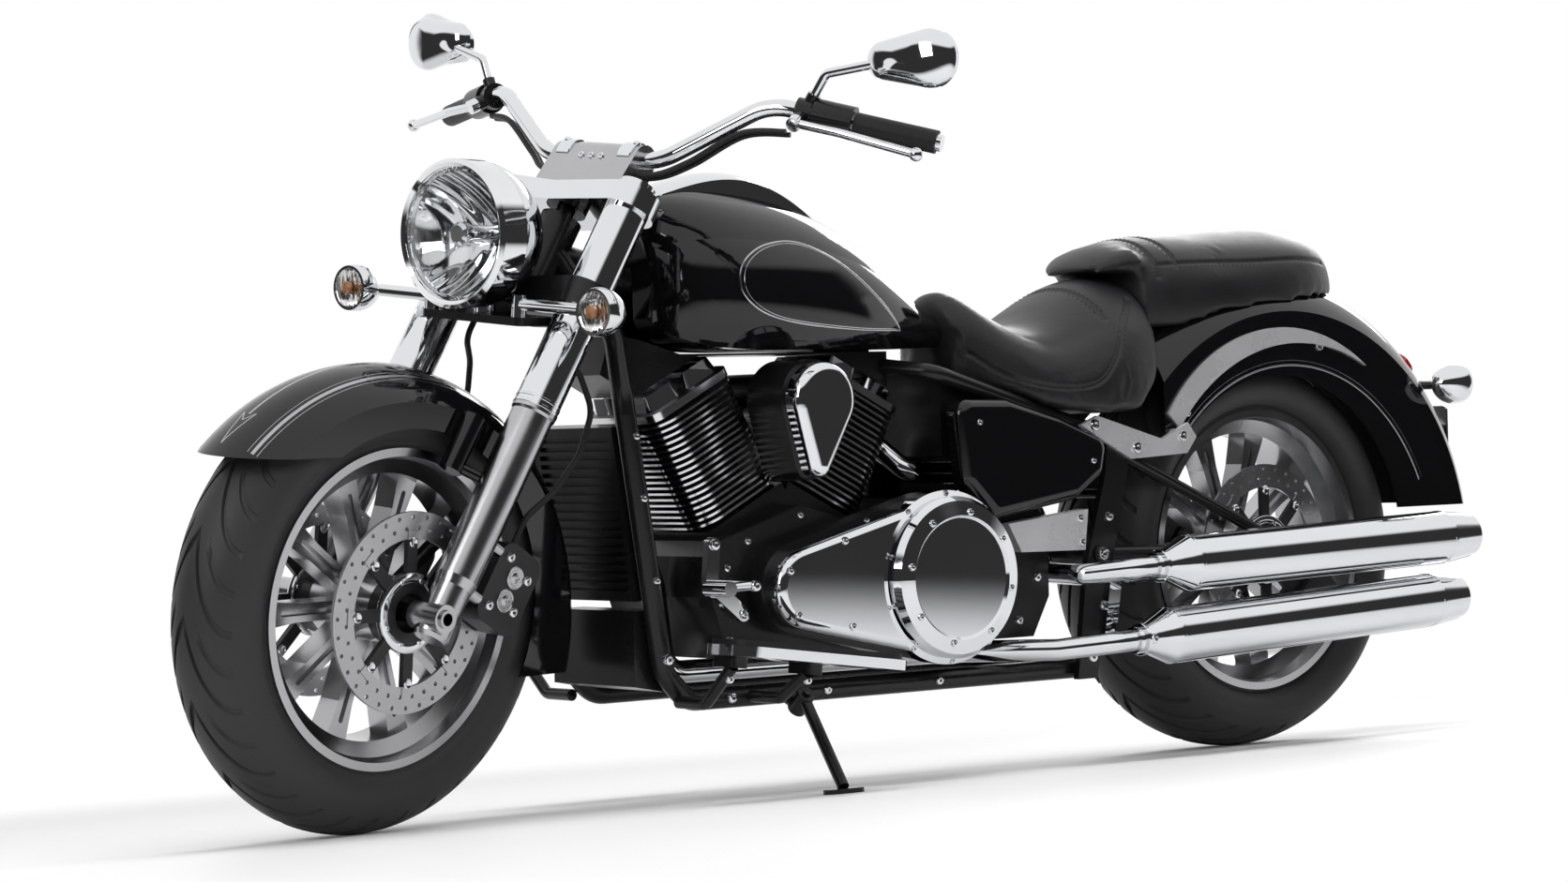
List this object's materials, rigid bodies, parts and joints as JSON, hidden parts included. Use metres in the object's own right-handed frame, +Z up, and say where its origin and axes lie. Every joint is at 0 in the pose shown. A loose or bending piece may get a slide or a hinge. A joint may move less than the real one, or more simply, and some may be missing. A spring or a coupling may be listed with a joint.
{
  "type": "cruiser motorcycle",
  "caption": "Low, long cruiser motorcycle with an air-cooled-look finned V-twin, cast spoked wheels, raked fork, teardrop tank, stepped seats and stacked mufflers, parked on its side stand.",
  "frame": {"origin": "on the ground, under the middle of the parked motorcycle's bounding box", "axes": "+X forward, +Y to the rider's left, +Z up from the ground; the motorcycle leans 4.5 degrees to its left on its side stand with the front wheel turned 12.6 degrees to the left"},
  "size_m": [2.5415, 1.065, 1.262],
  "materials": {
    "chrome": "mirror polished",
    "brushed_alloy": "brushed",
    "gloss_black_paint": "gloss",
    "satin_black_paint": "satin",
    "black_fin_alloy": "satin",
    "caliper_black": "satin",
    "axle_steel": "machined",
    "disc_steel": "ground",
    "tyre_rubber": "matt",
    "black_rubber": "matt",
    "black_leather": "satin grained",
    "clear_glass": "clear",
    "clear_lens": "clear, fluted",
    "red_lens": "gloss"
  },
  "bodies": {
    "chassis": {"air_cleaner": "satin_black_paint", "air_cleaner_covers": "chrome", "battery_box": "satin_black_paint", "board_hangers": "satin_black_paint", "board_pads": "black_rubber", "chrome_trims": "chrome", "crankcase": "satin_black_paint", "cylinders": "black_fin_alloy", "exhaust_headers": "satin_black_paint", "floorboards": "chrome", "foot_controls": "chrome", "fuel_tank": "gloss_black_paint", "main_frame": "satin_black_paint", "mufflers": "chrome", "passenger_seat": "black_leather", "primary_covers": "chrome", "radiator": "satin_black_paint", "rear_axle": "axle_steel", "rear_caliper": "caliper_black", "rear_lamps": "chrome", "rear_lenses": "red_lens", "rear_mudguard": "gloss_black_paint", "rider_seat": "black_leather", "rocker_covers": "chrome", "side_covers": "gloss_black_paint", "swingarm": "satin_black_paint", "tank_console": "chrome"},
    "steering": {"front_mudguard": "gloss_black_paint", "fork_sliders": "brushed_alloy", "fork_uppers": "chrome", "front_axle": "axle_steel", "lower_yoke": "satin_black_paint", "upper_yoke": "chrome", "handlebar": "chrome", "riser_clamp": "chrome", "grips": "black_rubber", "bar_controls": "satin_black_paint", "levers": "chrome", "mirrors": "chrome", "front_calipers": "caliper_black", "headlamp_ring": "chrome", "headlamp_shell": "gloss_black_paint", "headlamp_lens": "clear_glass", "front_indicators": "chrome", "front_indicator_lenses": "clear_lens", "brake_hoses": "black_rubber"},
    "front_wheel": {"front_rim": "brushed_alloy", "front_tyre": "tyre_rubber", "front_discs": "disc_steel"},
    "rear_wheel": {"rear_rim": "brushed_alloy", "rear_tyre": "tyre_rubber", "rear_disc": "disc_steel"},
    "stand": {"side_stand": "satin_black_paint"}
  },
  "joints": [
    {"name": "steering", "type": "hinge", "parent": "chassis", "child": "steering", "pos_m": [0.66709, -0.02013, 0.73325], "axis": [-0.512, 0.0673, 0.8563], "range_deg": [-48.6, 23.4]},
    {"name": "front_wheel_spin", "type": "hinge", "parent": "steering", "child": "front_wheel", "pos_m": [0.94991, -0.04557, 0.32048], "axis": [-0.1875, 0.9641, -0.1879], "continuous": true},
    {"name": "rear_wheel_spin", "type": "hinge", "parent": "chassis", "child": "rear_wheel", "pos_m": [-0.74941, -0.05211, 0.32944], "axis": [-0.0001, 0.9969, -0.0785], "continuous": true},
    {"name": "side_stand_fold", "type": "hinge", "parent": "chassis", "child": "stand", "pos_m": [0.29625, 0.10571, 0.14061], "axis": [0.0147, 0.7861, 0.6179], "range_deg": [0, 98]}
  ]
}
